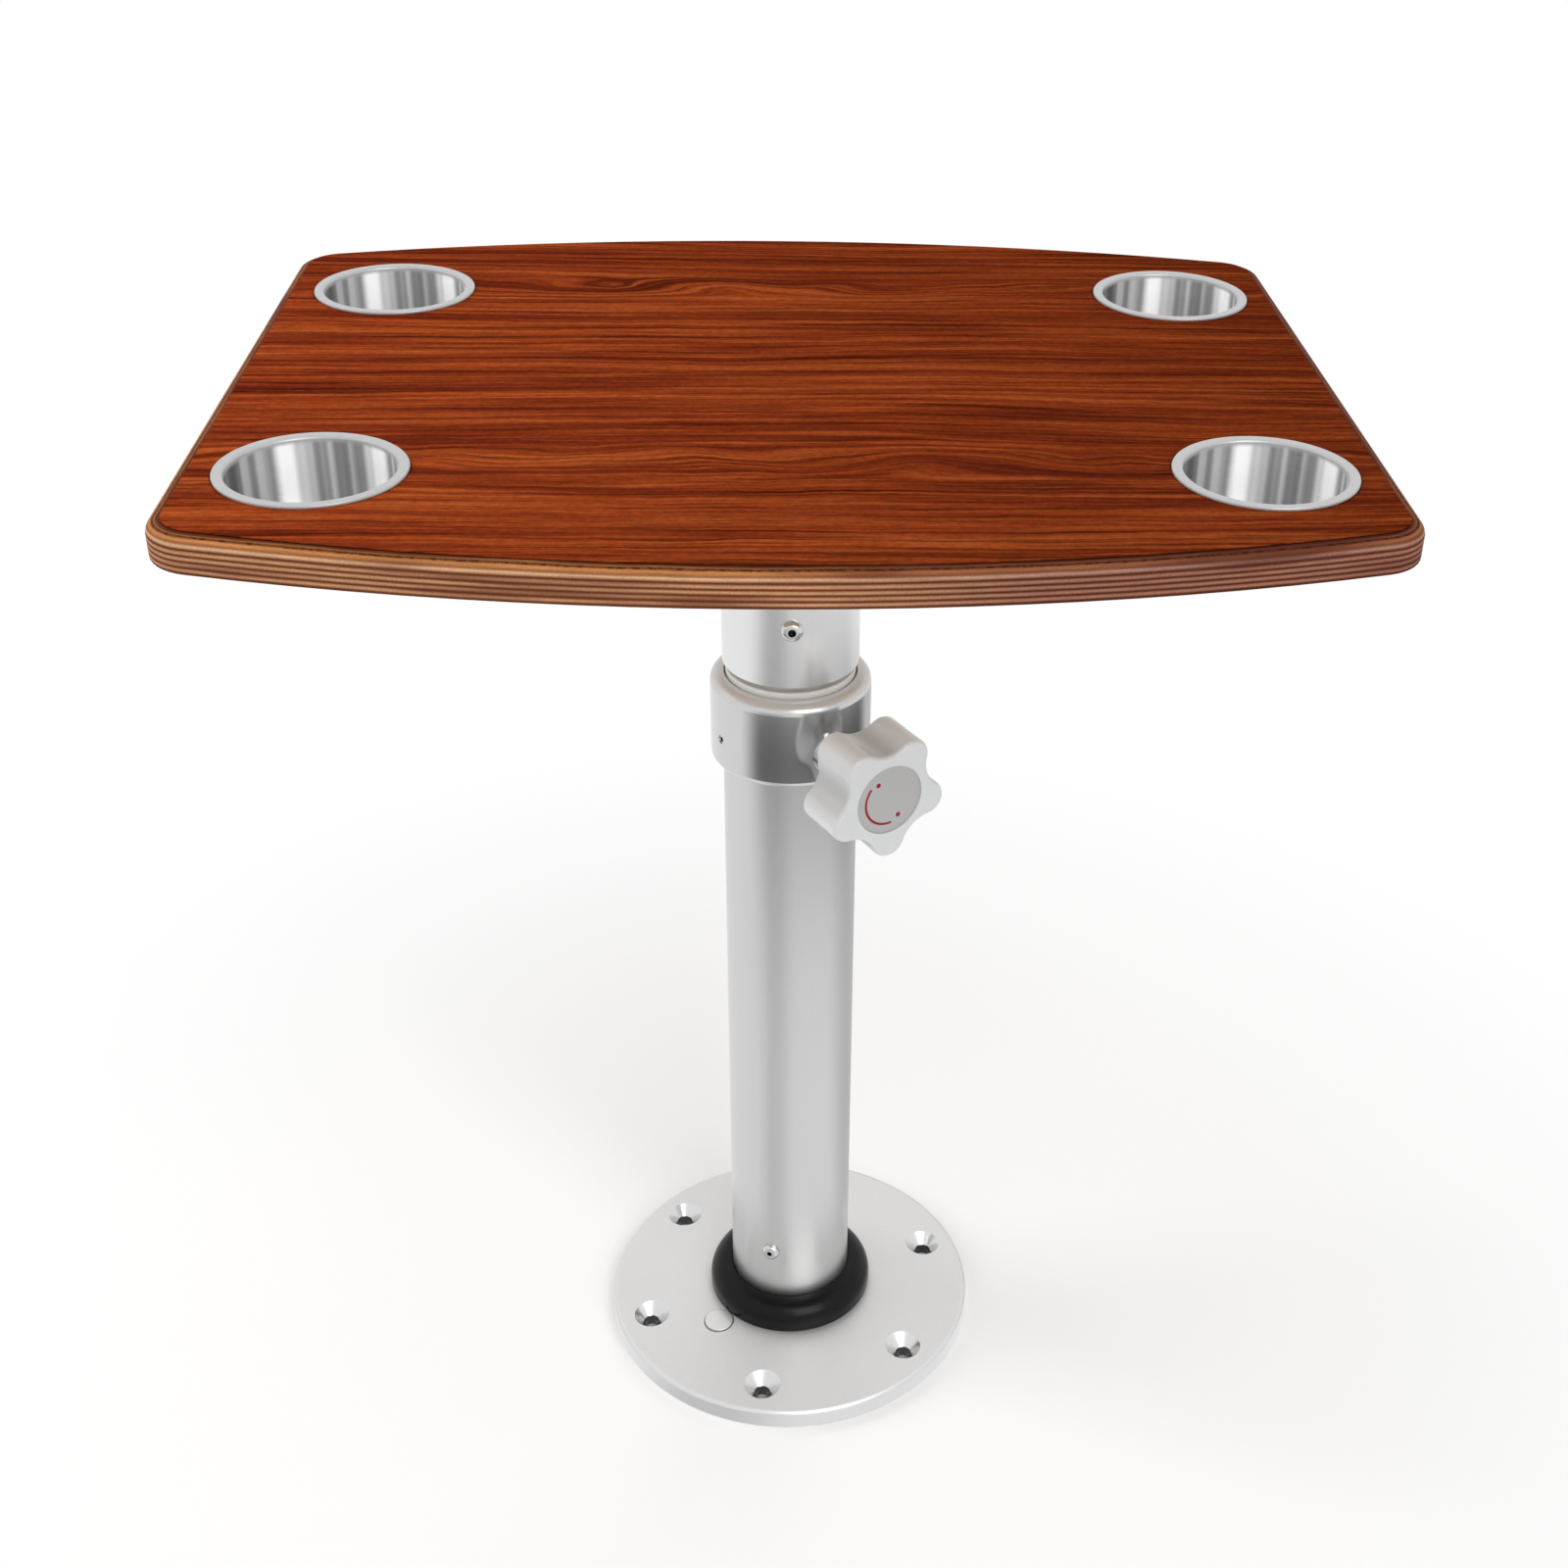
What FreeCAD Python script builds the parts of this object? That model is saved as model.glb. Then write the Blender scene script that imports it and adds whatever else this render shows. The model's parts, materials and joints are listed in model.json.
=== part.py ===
import FreeCAD, Part
import math
import os

# Pedestal table: a bowed plywood top with four cup holders on a telescoping, swivelling
# column, locked by a five-lobed knob. Millimetres, +Z up, +X along the long side of the
# top, the user sits at -Y. The origin is the centre of the underside of the base.
# The column is fully down here.

# Driving dimensions
TABLE_HEIGHT = 648.0
TABLE_LENGTH = 564.0
TABLE_DEPTH = 478.0
TABLE_BOW = 39.5
TABLE_CORNER_RADIUS = 26.0
BASE_DIAMETER = 237.0
POST_DIAMETER = 76.2
SLEEVE_LENGTH = 142.9
COLLAR_HEIGHT = 52.5
CUP_DIAMETER = 77.0
KNOB_DIAMETER = 72.0
KNOB_AZIMUTH = -60.0

# Clearances, and the overrun of every cut
SEAT_FIT = 0.05
RUNNING_FIT = 0.1
OPEN_GAP = 0.3
OVERRUN = 2.0

# Outer post and the column that slides in it
POST_RADIUS = POST_DIAMETER / 2
POST_WALL = 2.6
POST_INNER = POST_RADIUS - POST_WALL
COLUMN_GAP = 3.0
COLUMN_RADIUS = POST_INNER - COLUMN_GAP
COLUMN_WALL = 2.5
COLUMN_INNER = COLUMN_RADIUS - COLUMN_WALL

# Heights from the top down: laminate, board, plate, sleeve, gap, collar and end of the post
LAMINATE_THICKNESS = 0.8
BOARD_THICKNESS = 17.4
PLATE_THICKNESS = 6.0
SLEEVE_GAP = 3.4
COLLAR_CAP = 9.0
BOARD_TOP = TABLE_HEIGHT - LAMINATE_THICKNESS
BOARD_BOTTOM = BOARD_TOP - BOARD_THICKNESS
PLATE_BOTTOM = BOARD_BOTTOM - PLATE_THICKNESS
SLEEVE_BOTTOM = PLATE_BOTTOM - SLEEVE_LENGTH
COLLAR_TOP = SLEEVE_BOTTOM - SLEEVE_GAP
COLLAR_BOTTOM = COLLAR_TOP - COLLAR_HEIGHT
POST_TOP = COLLAR_TOP - COLLAR_CAP

# Moulded ring round the foot of the post
RING_WIDTH = 14.6
RING_HEIGHT = 18.5
RING_TOP_ROUND = 12.0
RING_EDGE_ROUND = 1.2
RING_RADIUS = POST_RADIUS + RING_WIDTH

# Base flange with its spigot
BASE_RADIUS = BASE_DIAMETER / 2
BASE_EDGE_HEIGHT = 12.5
BASE_EDGE_ROUND = 3.5
BASE_FOOT_ROUND = 1.0
BASE_CROWN = 16.0
BASE_SEAT_MARGIN = 2.5
BASE_SEAT_RADIUS = RING_RADIUS + BASE_SEAT_MARGIN
SPIGOT_TOP = 153.5
SPIGOT_WALL = 7.0
SPIGOT_OUTER = POST_INNER - SEAT_FIT
SPIGOT_INNER = SPIGOT_OUTER - SPIGOT_WALL
SPIGOT_LEAD = 1.5
BOLT_COUNT = 6
BOLT_INSET = 21.5
BOLT_CIRCLE_RADIUS = BASE_RADIUS - BOLT_INSET
BOLT_FIRST_AZIMUTH = 18.5
BOLT_HOLE_RADIUS = 4.5
BOLT_SINK_RADIUS = 11.5

# Screws that hold the post on the spigot
FOOT_SCREW_COUNT = 2
FOOT_SCREW_AZIMUTH = -110.0
FOOT_SCREW_HEIGHT = 72.0
FOOT_SCREW_RADIUS = 2.5
FOOT_SCREW_HEAD = 5.6
FOOT_SCREW_RISE = 2.9
FOOT_SCREW_KEY = 3.0
SCREW_CROWN_SHARE = 0.9

# Release button in the base
BUTTON_AZIMUTH = -139.5
BUTTON_RADIUS = 9.2
BUTTON_TRAVEL = 1.0
BUTTON_PRESSED_RISE = 0.2
BUTTON_PROUD = BUTTON_TRAVEL + BUTTON_PRESSED_RISE
BUTTON_ROUND = 0.6
BUTTON_GAP = 0.25
BUTTON_FLANGE = 11.3
BUTTON_FLANGE_THICKNESS = 2.0
BUTTON_SHELF = 9.0
RETAINER_THICKNESS = 2.0
RETAINER_RECESS = 0.6
SPRING_RADIUS = 7.0
SPRING_WIRE_RADIUS = 0.5
SPRING_TURNS = 3

# Collar on the top end of the post, with the clamp a little below its middle
COLLAR_WALL = 7.0
COLLAR_BORE = POST_RADIUS + SEAT_FIT
COLLAR_RADIUS = COLLAR_BORE + COLLAR_WALL
COLLAR_FOOT_ROUND = 4.0
COLLAR_TOP_ROUND = 6.5
COLLAR_DROP = 0.8
COLLAR_MOUTH_ROUND = 0.5
CLAMP_RISE_SHARE = 0.372
CLAMP_HEIGHT = COLLAR_BOTTOM + COLLAR_HEIGHT * CLAMP_RISE_SHARE

# Grub screws that hold the collar on the post
GRUB_COUNT = 2
GRUB_RADIUS = 2.5
GRUB_RECESS = 0.6
GRUB_KEY = 2.5

# Guide bush in the mouth of the collar
BUSH_LENGTH = 60.5
BUSH_FLANGE_THICKNESS = 3.0
BUSH_NECK_WALL = 3.8
BUSH_NECK_ROUND = 1.0
BUSH_INNER = COLUMN_RADIUS + RUNNING_FIT
BUSH_NECK_RADIUS = BUSH_INNER + BUSH_NECK_WALL
BUSH_TOP = SLEEVE_BOTTOM - OPEN_GAP
BUSH_BOTTOM = POST_TOP - BUSH_LENGTH
MOUTH_GAP = 0.8
COLLAR_MOUTH = BUSH_NECK_RADIUS + MOUTH_GAP

# Column foot, from the spigot up: bumper, plug, glide and stop ring. The height travel
# is what is left between the stop ring and the bush.
BUMPER_HEIGHT = 8.0
PLUG_FLANGE_THICKNESS = 6.0
PLUG_FLANGE_EDGE = 1.2
PLUG_DEPTH = 18.0
PLUG_WALL = 5.0
GLIDE_LENGTH = 32.0
STOP_RING_HEIGHT = 8.0
STOP_RING_EDGE = 0.6
BUMPER_TOP = SPIGOT_TOP + BUMPER_HEIGHT
PLUG_BOTTOM = BUMPER_TOP + OPEN_GAP
COLUMN_BOTTOM = PLUG_BOTTOM + PLUG_FLANGE_THICKNESS
GLIDE_BOTTOM = COLUMN_BOTTOM + RUNNING_FIT
GLIDE_TOP = GLIDE_BOTTOM + GLIDE_LENGTH
STOP_RING_BOTTOM = GLIDE_TOP + RUNNING_FIT
STOP_RING_TOP = STOP_RING_BOTTOM + STOP_RING_HEIGHT
HEIGHT_TRAVEL = BUSH_BOTTOM - STOP_RING_TOP

# Clamp: pad, stud, threaded hub and knob, along the clamp axis
PAD_RADIUS = 6.0
PAD_LENGTH = 8.0
PAD_FRONT = COLUMN_RADIUS + OPEN_GAP
PAD_BACK = PAD_FRONT + PAD_LENGTH
PAD_TRAVEL = 2.25
PAD_BORE = PAD_RADIUS + RUNNING_FIT
PAD_BORE_END = PAD_BACK + PAD_TRAVEL + OPEN_GAP
STUD_RADIUS = 5.0
STUD_NOSE_RADIUS = 3.0
STUD_NOSE_LENGTH = 4.5
STUD_GRIP = 18.0
HUB_SINK = 1.9
HUB_SEAT = COLLAR_RADIUS - HUB_SINK
HUB_RADIUS = 12.0
HUB_FOOT = 6.0
HUB_WAIST = 9.5
HUB_TAPER = 5.0
HUB_LENGTH = 23.6
HUB_END = HUB_SEAT + HUB_LENGTH
HUB_ROUND = 1.2
KNOB_CLEARANCE = 2.5
KNOB_LENGTH = 33.0
KNOB_LOBES = 5
KNOB_LOBE_SHARE = 0.278
KNOB_VALLEY_SHARE = 0.736
KNOB_RADIUS = KNOB_DIAMETER / 2
KNOB_LOBE_RADIUS = KNOB_RADIUS * KNOB_LOBE_SHARE
KNOB_VALLEY_RADIUS = KNOB_RADIUS * KNOB_VALLEY_SHARE
KNOB_EDGE_ROUND = 2.5
KNOB_TURN = 2.0
DISC_RADIUS = 20.2
DISC_THICKNESS = 1.5
DISC_RECESS = 0.7
KNOB_BACK = HUB_END + KNOB_CLEARANCE
KNOB_FRONT = KNOB_BACK + KNOB_LENGTH

# Plywood board and its laminate
LAMINATE_MARGIN = 0.8
BOARD_EDGE_ROUND = 6.0
BOARD_FOOT_ROUND = 1.5
TABLE_END_DEPTH = TABLE_DEPTH - 2 * TABLE_BOW

# Table socket: plate with a hub, in a sleeve
PLATE_RADIUS = 80.0
PLATE_EDGE_ROUND = 1.5
SOCKET_WALL = 2.5
SOCKET_INNER = COLUMN_RADIUS + SEAT_FIT
SOCKET_OUTER = SOCKET_INNER + SOCKET_WALL
SLEEVE_WALL = 3.0
SLEEVE_INNER = SOCKET_OUTER + SEAT_FIT
SLEEVE_RADIUS = SLEEVE_INNER + SLEEVE_WALL
SLEEVE_BEVEL = 2.1
SLEEVE_BEVEL_HEIGHT = 4.0
SOCKET_INSET = 12.0
SOCKET_BOTTOM = SLEEVE_BOTTOM + SOCKET_INSET
SLEEVE_SCREW_COUNT = 3
SLEEVE_SCREW_AZIMUTH = -90.0
SLEEVE_SCREW_LIFT = 38.6
SLEEVE_SCREW_HEIGHT = SLEEVE_BOTTOM + SLEEVE_SCREW_LIFT
SLEEVE_SCREW_RADIUS = 3.0
SLEEVE_SCREW_HEAD = 6.1
SLEEVE_SCREW_RISE = 3.4
SLEEVE_SCREW_KEY = 4.0
PLATE_SCREW_COUNT = 6
PLATE_SCREW_INSET = 18.0
PLATE_SCREW_CIRCLE = PLATE_RADIUS - PLATE_SCREW_INSET
PLATE_SCREW_RADIUS = 2.2
PLATE_SCREW_HEAD = 4.4
PLATE_SCREW_LENGTH = 18.0

# Cup holders, each set in from an end and a long side of the table
CUP_INSET_X = 62.5
CUP_INSET_Y = 68.0
CUP_RIM_WIDTH = 5.5
CUP_RIM_THICKNESS = 1.4
CUP_WALL = 0.8
CUP_INNER = CUP_DIAMETER / 2
CUP_RIM_RADIUS = CUP_INNER + CUP_RIM_WIDTH
CUP_DEPTH = 36.0
CUP_FLOOR_ROUND = 5.0
CUP_RIM_ROUND = 0.8
CUP_LIP_ROUND = 1.6
CUP_HOLE_GAP = 1.7
CUP_OUTER = CUP_INNER + CUP_WALL
CUP_HOLE = CUP_OUTER + CUP_HOLE_GAP

V = FreeCAD.Vector
CENTRE = V(0, 0, 0)
UP = V(0, 0, 1)
ALONG_Y = V(0, 1, 0)


def corner_arc(before, corner, after, radius):
    """Start, middle and end of the arc of this radius that rounds a corner."""
    back = (before - corner).normalize()
    ahead = (after - corner).normalize()
    half_angle = back.getAngle(ahead) / 2
    inward = (back + ahead).normalize()
    centre = corner + inward * (radius / math.sin(half_angle))
    run = radius / math.tan(half_angle)
    return corner + back * run, centre - inward * radius, corner + ahead * run


def rounded_face(corners):
    """Face in the XZ plane through corners (x, z, radius), each rounded to its radius."""
    points = [V(x, 0, z) for x, z, _ in corners]
    edges = []
    ends = []
    for index, (_, _, radius) in enumerate(corners):
        corner = points[index]
        if radius == 0:
            ends.append((corner, corner))
            continue
        after = points[(index + 1) % len(points)]
        start, middle, end = corner_arc(points[index - 1], corner, after, radius)
        edges.append(Part.Arc(start, middle, end).toShape())
        ends.append((start, end))
    for index, (start, _) in enumerate(ends):
        edges.append(Part.makeLine(ends[index - 1][1], start))
    return Part.Face(Part.Wire(Part.__sortEdges__(edges)))


def turned(corners):
    """Solid of revolution about Z of a rounded profile (radius, height, rounding)."""
    return rounded_face(corners).revolve(CENTRE, UP, 360)


def tube(outer, inner, bottom, top):
    """Plain round tube about Z."""
    return turned([(inner, bottom, 0), (outer, bottom, 0), (outer, top, 0), (inner, top, 0)])


def rod(radius, bottom, top):
    """Plain round rod about Z."""
    return Part.makeCylinder(radius, top - bottom, V(0, 0, bottom), UP)


def hex_rod(across_flats, bottom, top):
    """Hexagonal rod about Z."""
    reach = across_flats / math.sqrt(3)
    turns = [math.radians(60 * index) for index in range(7)]
    points = [V(reach * math.cos(turn), reach * math.sin(turn), bottom) for turn in turns]
    return Part.Face(Part.makePolygon(points)).extrude(V(0, 0, top - bottom))


def aimed(shape, azimuth, height):
    """Lay a shape built along Z on the radial line at this azimuth and height."""
    laid = shape.copy()
    laid.rotate(CENTRE, ALONG_Y, 90)
    laid.rotate(CENTRE, UP, azimuth)
    laid.translate(V(0, 0, height))
    return laid


def moved(shape, x, y):
    """Copy of a shape, moved sideways."""
    placed = shape.copy()
    placed.translate(V(x, y, 0))
    return placed


def around(shape, count, first_azimuth=0.0):
    """Copies of a shape, evenly spaced about Z."""
    copies = []
    for index in range(count):
        copy = shape.copy()
        copy.rotate(CENTRE, UP, first_azimuth + 360 * index / count)
        copies.append(copy)
    return copies


def radial_rods(radius, start, end, count, azimuth, height):
    """Rods that point outwards, evenly spaced about Z."""
    return around(aimed(rod(radius, start, end), 0, height), count, azimuth)


def base_top_at(radius):
    """Height of the sloping top of the base at this radius."""
    share = (BASE_RADIUS - radius) / (BASE_RADIUS - BASE_SEAT_RADIUS)
    return BASE_EDGE_HEIGHT + (BASE_CROWN - BASE_EDGE_HEIGHT) * share


def button_place():
    """Distance of the release button from the axis, just clear of the ring."""
    return RING_RADIUS + BUTTON_RADIUS + OPEN_GAP


def at_button(shape):
    """Move a shape built about Z to the release button."""
    placed = moved(shape, button_place(), 0)
    placed.rotate(CENTRE, UP, BUTTON_AZIMUTH)
    return placed


def button_screw(radius, head, rise, key, tip, seat):
    """Button-head screw along Z, with a hexagon socket, its head seated at this height."""
    body = turned([
        (0, tip, 0),
        (radius, tip, 0),
        (radius, seat, 0),
        (head, seat, 0),
        (head, seat + rise, rise * SCREW_CROWN_SHARE),
        (0, seat + rise, 0),
    ])
    return body.cut(hex_rod(key, seat, seat + rise + OVERRUN))


def base_flange():
    """Cast flange, crowned towards the post, with the spigot that the post stands on."""
    body = turned([
        (SPIGOT_INNER, 0, 0),
        (BASE_RADIUS, 0, BASE_FOOT_ROUND),
        (BASE_RADIUS, BASE_EDGE_HEIGHT, BASE_EDGE_ROUND),
        (BASE_SEAT_RADIUS, BASE_CROWN, 0),
        (SPIGOT_OUTER, BASE_CROWN, 0),
        (SPIGOT_OUTER, SPIGOT_TOP, SPIGOT_LEAD),
        (SPIGOT_INNER, SPIGOT_TOP, 0),
    ])
    surface = base_top_at(BOLT_CIRCLE_RADIUS)
    sink_bottom = surface - (BOLT_SINK_RADIUS - BOLT_HOLE_RADIUS)
    sink_top = surface + OVERRUN
    bolt_hole = turned([
        (0, -OVERRUN, 0),
        (BOLT_HOLE_RADIUS, -OVERRUN, 0),
        (BOLT_HOLE_RADIUS, sink_bottom, 0),
        (BOLT_SINK_RADIUS + OVERRUN, sink_top, 0),
        (0, sink_top, 0),
    ])
    holes = around(moved(bolt_hole, BOLT_CIRCLE_RADIUS, 0), BOLT_COUNT, BOLT_FIRST_AZIMUTH)
    button_top = base_top_at(button_place()) + BUTTON_PROUD
    holes.append(at_button(rod(BUTTON_RADIUS + BUTTON_GAP, -OVERRUN, button_top)))
    holes.append(at_button(rod(BUTTON_FLANGE + RUNNING_FIT, -OVERRUN, BUTTON_SHELF)))
    holes += radial_rods(
        FOOT_SCREW_RADIUS + SEAT_FIT, SPIGOT_INNER - OVERRUN, SPIGOT_OUTER + OVERRUN,
        FOOT_SCREW_COUNT, FOOT_SCREW_AZIMUTH, FOOT_SCREW_HEIGHT)
    return body.cut(holes)


def base_ring():
    """Moulded ring that hides the joint of post and base."""
    inner = POST_RADIUS + SEAT_FIT
    top = BASE_CROWN + RING_HEIGHT
    return turned([
        (inner, BASE_CROWN, 0),
        (RING_RADIUS, BASE_CROWN, RING_EDGE_ROUND),
        (RING_RADIUS, top, RING_TOP_ROUND),
        (inner, top, RING_EDGE_ROUND),
    ])


def foot_screws():
    """Screws through the foot of the post into the spigot."""
    screw = button_screw(
        FOOT_SCREW_RADIUS, FOOT_SCREW_HEAD, FOOT_SCREW_RISE, FOOT_SCREW_KEY,
        SPIGOT_INNER, POST_RADIUS)
    laid = aimed(screw, 0, FOOT_SCREW_HEIGHT)
    return Part.makeCompound(around(laid, FOOT_SCREW_COUNT, FOOT_SCREW_AZIMUTH))


def release_button():
    """Push button whose flange is held under the shelf of its bore."""
    top = base_top_at(button_place()) + BUTTON_PROUD
    shelf = BUTTON_SHELF - SEAT_FIT
    button = turned([
        (0, shelf - BUTTON_FLANGE_THICKNESS, 0),
        (BUTTON_FLANGE, shelf - BUTTON_FLANGE_THICKNESS, 0),
        (BUTTON_FLANGE, shelf, 0),
        (BUTTON_RADIUS, shelf, 0),
        (BUTTON_RADIUS, top, BUTTON_ROUND),
        (0, top, 0),
    ])
    return at_button(button)


def button_retainer():
    """Disc pressed into the base below the button, which carries its spring."""
    top = RETAINER_RECESS + RETAINER_THICKNESS
    return at_button(rod(BUTTON_FLANGE + RUNNING_FIT - SEAT_FIT, RETAINER_RECESS, top))


def release_spring():
    """Coil spring between the retainer and the button."""
    bottom = RETAINER_RECESS + RETAINER_THICKNESS + SPRING_WIRE_RADIUS + SEAT_FIT
    top = BUTTON_SHELF - 2 * SEAT_FIT - BUTTON_FLANGE_THICKNESS - SPRING_WIRE_RADIUS
    height = top - bottom
    path = Part.Wire(Part.makeHelix(height / SPRING_TURNS, height, SPRING_RADIUS))
    section = Part.Wire(Part.makeCircle(SPRING_WIRE_RADIUS, V(SPRING_RADIUS, 0, 0), ALONG_Y))
    coil = path.makePipeShell([section], True, True)
    coil.translate(V(0, 0, bottom))
    return at_button(coil)


def outer_tube():
    """Round post with its screw holes and the window of the clamp pad."""
    body = tube(POST_RADIUS, POST_INNER, BASE_CROWN, POST_TOP)
    holes = radial_rods(
        FOOT_SCREW_RADIUS + SEAT_FIT, POST_INNER - OVERRUN, POST_RADIUS + OVERRUN,
        FOOT_SCREW_COUNT, FOOT_SCREW_AZIMUTH, FOOT_SCREW_HEIGHT)
    holes.append(clamp_bore(PAD_BORE, COLUMN_INNER, COLLAR_RADIUS))
    return body.cut(holes)


def clamp_bore(radius, start, end):
    """Rod on the clamp axis, for the holes that the clamp passes through."""
    return aimed(rod(radius, start, end), KNOB_AZIMUTH, CLAMP_HEIGHT)


def grub_azimuth():
    """The grub screws stand square to the clamp axis."""
    return KNOB_AZIMUTH - 90


def collar():
    """Heavy collar over the top end of the post, domed towards its mouth."""
    step = POST_TOP + BUSH_FLANGE_THICKNESS
    body = turned([
        (COLLAR_BORE, COLLAR_BOTTOM, 0),
        (COLLAR_RADIUS, COLLAR_BOTTOM, COLLAR_FOOT_ROUND),
        (COLLAR_RADIUS, COLLAR_TOP - COLLAR_DROP, COLLAR_TOP_ROUND),
        (COLLAR_MOUTH, COLLAR_TOP, COLLAR_MOUTH_ROUND),
        (COLLAR_MOUTH, step, 0),
        (COLLAR_BORE, step, 0),
    ])
    holes = [
        clamp_bore(PAD_BORE, COLUMN_RADIUS, PAD_BORE_END),
        clamp_bore(STUD_RADIUS + RUNNING_FIT, COLUMN_RADIUS, COLLAR_RADIUS + OVERRUN),
        clamp_bore(HUB_RADIUS + SEAT_FIT, HUB_SEAT, COLLAR_RADIUS + OVERRUN),
    ]
    holes += radial_rods(
        GRUB_RADIUS + SEAT_FIT, COLUMN_RADIUS, COLLAR_RADIUS + OVERRUN,
        GRUB_COUNT, grub_azimuth(), CLAMP_HEIGHT)
    return body.cut(holes)


def collar_grub_screws():
    """Socket-set screws in the collar that bear on the post."""
    end = COLLAR_RADIUS - GRUB_RECESS
    depth = GRUB_RADIUS
    screw = rod(GRUB_RADIUS, POST_RADIUS, end).cut(hex_rod(GRUB_KEY, end - depth, end + OVERRUN))
    laid = aimed(screw, 0, CLAMP_HEIGHT)
    return Part.makeCompound(around(laid, GRUB_COUNT, grub_azimuth()))


def upper_bush():
    """Moulded guide bush: a liner in the post, a flange on its end and a neck in the mouth."""
    outer = POST_INNER - SEAT_FIT
    flange = COLLAR_BORE - SEAT_FIT
    flange_top = POST_TOP + BUSH_FLANGE_THICKNESS
    body = turned([
        (BUSH_INNER, BUSH_BOTTOM, 0),
        (outer, BUSH_BOTTOM, 0),
        (outer, POST_TOP, 0),
        (flange, POST_TOP, 0),
        (flange, flange_top, 0),
        (BUSH_NECK_RADIUS, flange_top, 0),
        (BUSH_NECK_RADIUS, BUSH_TOP, BUSH_NECK_ROUND),
        (BUSH_INNER, BUSH_TOP, 0),
    ])
    return body.cut(clamp_bore(PAD_BORE, COLUMN_INNER, POST_RADIUS))


def clamp_hub():
    """Threaded hub on the collar, conical towards the knob."""
    bore = STUD_RADIUS + RUNNING_FIT
    hub = turned([
        (bore, HUB_SEAT, 0),
        (HUB_RADIUS, HUB_SEAT, 0),
        (HUB_RADIUS, HUB_SEAT + HUB_FOOT, HUB_ROUND),
        (HUB_WAIST, HUB_SEAT + HUB_FOOT + HUB_TAPER, HUB_ROUND),
        (HUB_WAIST, HUB_END, HUB_ROUND),
        (bore, HUB_END, 0),
    ])
    return aimed(hub, KNOB_AZIMUTH, CLAMP_HEIGHT)


def clamp_pad():
    """Pad that the stud presses on the column, hollowed to the column's radius."""
    body = clamp_bore(PAD_RADIUS, COLUMN_INNER, PAD_BACK)
    reach = PAD_RADIUS + OVERRUN
    column = rod(PAD_FRONT, CLAMP_HEIGHT - reach, CLAMP_HEIGHT + reach)
    nose = STUD_NOSE_RADIUS + RUNNING_FIT
    socket = clamp_bore(nose, PAD_BACK - STUD_NOSE_LENGTH - RUNNING_FIT, PAD_BACK + OVERRUN)
    return body.cut([column, socket])


def knob_stud():
    """Steel stud, with a nose that turns in the pad and its other end moulded in the knob."""
    nose_tip = PAD_BACK - STUD_NOSE_LENGTH
    shoulder = PAD_BACK + RUNNING_FIT
    stud = turned([
        (0, nose_tip, 0),
        (STUD_NOSE_RADIUS, nose_tip, 0),
        (STUD_NOSE_RADIUS, shoulder, 0),
        (STUD_RADIUS, shoulder, 0),
        (STUD_RADIUS, KNOB_BACK + STUD_GRIP, 0),
        (0, KNOB_BACK + STUD_GRIP, 0),
    ])
    return aimed(stud, KNOB_AZIMUTH, CLAMP_HEIGHT)


def knob_outline(height):
    """Five convex lobes joined by five hollows, every arc tangent to the next."""
    lobe_place = KNOB_RADIUS - KNOB_LOBE_RADIUS
    half_pitch = math.pi / KNOB_LOBES
    facing = lobe_place * math.cos(half_pitch)
    squares = KNOB_LOBE_RADIUS**2 - lobe_place**2 - KNOB_VALLEY_RADIUS**2
    excess = KNOB_VALLEY_RADIUS - facing - KNOB_LOBE_RADIUS
    hollow = (squares + 2 * facing * KNOB_VALLEY_RADIUS) / 2 / excess
    hollow_place = KNOB_VALLEY_RADIUS + hollow

    def polar(reach, turn):
        return V(reach * math.cos(turn), reach * math.sin(turn), height)

    edges = []
    for index in range(KNOB_LOBES):
        turn = 2 * half_pitch * index
        middle = turn + half_pitch
        lobe = polar(lobe_place, turn)
        next_lobe = polar(lobe_place, turn + 2 * half_pitch)
        before = polar(hollow_place, turn - half_pitch)
        after = polar(hollow_place, middle)
        start = lobe + (before - lobe).normalize() * KNOB_LOBE_RADIUS
        end = lobe + (after - lobe).normalize() * KNOB_LOBE_RADIUS
        next_start = next_lobe + (after - next_lobe).normalize() * KNOB_LOBE_RADIUS
        edges.append(Part.Arc(start, polar(KNOB_RADIUS, turn), end).toShape())
        edges.append(Part.Arc(end, polar(KNOB_VALLEY_RADIUS, middle), next_start).toShape())
    return Part.Face(Part.Wire(edges))


def clamp_knob():
    """Five-lobed hand knob with a recess for its disc."""
    body = knob_outline(KNOB_BACK).extrude(V(0, 0, KNOB_LENGTH))
    rims = [edge for edge in body.Edges if abs(edge.BoundBox.ZLength) < SEAT_FIT]
    body = body.makeFillet(KNOB_EDGE_ROUND, rims)
    disc_floor = KNOB_FRONT - DISC_RECESS - DISC_THICKNESS
    body = body.cut([
        rod(DISC_RADIUS + SEAT_FIT, disc_floor, KNOB_FRONT + OVERRUN),
        rod(STUD_RADIUS + SEAT_FIT, KNOB_BACK - OVERRUN, KNOB_BACK + STUD_GRIP + SEAT_FIT),
    ])
    body.rotate(CENTRE, UP, KNOB_TURN)
    return aimed(body, KNOB_AZIMUTH, CLAMP_HEIGHT)


def knob_disc():
    """Cover disc, set a little below the face of the knob."""
    floor = KNOB_FRONT - DISC_RECESS - DISC_THICKNESS
    return aimed(rod(DISC_RADIUS, floor, floor + DISC_THICKNESS), KNOB_AZIMUTH, CLAMP_HEIGHT)


def stop_bumper():
    """Soft ring on the spigot that the lowered column rests on."""
    return tube(SPIGOT_OUTER - SPIGOT_LEAD, SPIGOT_INNER, SPIGOT_TOP, BUMPER_TOP)


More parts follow.
